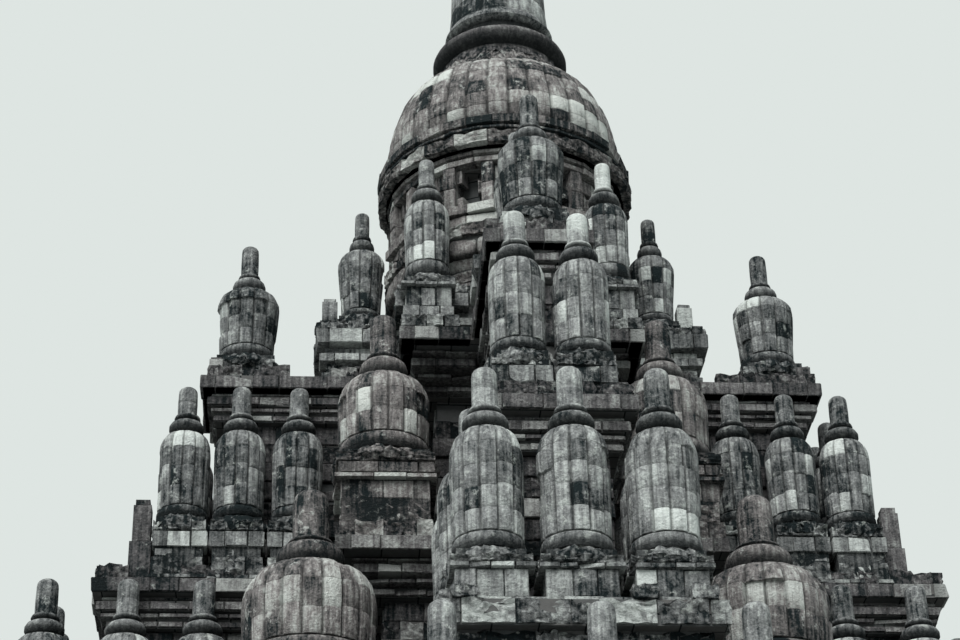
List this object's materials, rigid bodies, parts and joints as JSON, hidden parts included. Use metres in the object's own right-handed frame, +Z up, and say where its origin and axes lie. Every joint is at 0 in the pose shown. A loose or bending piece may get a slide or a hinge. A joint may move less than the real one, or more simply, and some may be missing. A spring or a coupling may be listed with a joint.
{
  "type": "hindu temple",
  "caption": "Tall stone temple tower: a hollow body on a terrace with stair and balustrade, and a stepped roof of ribbed urn finials under a giant crowning bell and spire.",
  "frame": {"origin": "on the ground, in the middle of the whole footprint, stair included", "axes": "+Z up; the doorway and stair face -Y; +X is to the right of someone who faces the doorway"},
  "size_m": [22, 29, 32.6],
  "materials": {
    "dark_andesite": "rough, weathered, dark with lichen",
    "grey_andesite": "rough, weathered",
    "brown_andesite": "rough, weathered",
    "pale_andesite": "rough, newer dressed stone"
  },
  "bodies": {
    "root": {"attic_course": "dark_andesite", "back_arm_finial": "grey_andesite", "back_finial_row": "grey_andesite", "balustrade_back": "grey_andesite", "balustrade_front_left": "grey_andesite", "balustrade_front_right": "grey_andesite", "balustrade_left": "grey_andesite", "balustrade_right": "grey_andesite", "base_terrace": "dark_andesite", "body_foot": "grey_andesite", "crown_bell": "brown_andesite", "crown_drum": "brown_andesite", "crown_ring": "dark_andesite", "crown_spire": "grey_andesite", "crown_terrace": "grey_andesite", "door_frame": "pale_andesite", "front_arm_finial": "grey_andesite", "front_finial_row": "grey_andesite", "front_stair": "grey_andesite", "kala_head": "pale_andesite", "left_arm_finial": "grey_andesite", "left_finial_row": "grey_andesite", "lower_corner_finial_back_left": "brown_andesite", "lower_corner_finial_back_right": "brown_andesite", "lower_corner_finial_front_left": "brown_andesite", "lower_corner_finial_front_right": "brown_andesite", "main_cornice": "dark_andesite", "porch_lintel": "brown_andesite", "porch_roof": "grey_andesite", "porch_wall_left": "brown_andesite", "porch_wall_right": "brown_andesite", "right_arm_finial": "grey_andesite", "right_finial_row": "grey_andesite", "roof_stage_lower": "dark_andesite", "roof_stage_upper": "dark_andesite", "stair_cheek_left": "dark_andesite", "stair_cheek_right": "dark_andesite", "upper_back_finial_row": "grey_andesite", "upper_corner_finial_back_left": "brown_andesite", "upper_corner_finial_back_right": "brown_andesite", "upper_corner_finial_front_left": "brown_andesite", "upper_corner_finial_front_right": "brown_andesite", "upper_front_finial_row": "grey_andesite", "upper_left_finial_row": "grey_andesite", "upper_right_finial_row": "grey_andesite", "wall_back": "brown_andesite", "wall_front_left": "brown_andesite", "wall_front_right": "brown_andesite", "wall_left": "brown_andesite", "wall_over_doorway": "brown_andesite", "wall_right": "brown_andesite"}
  },
  "joints": []
}
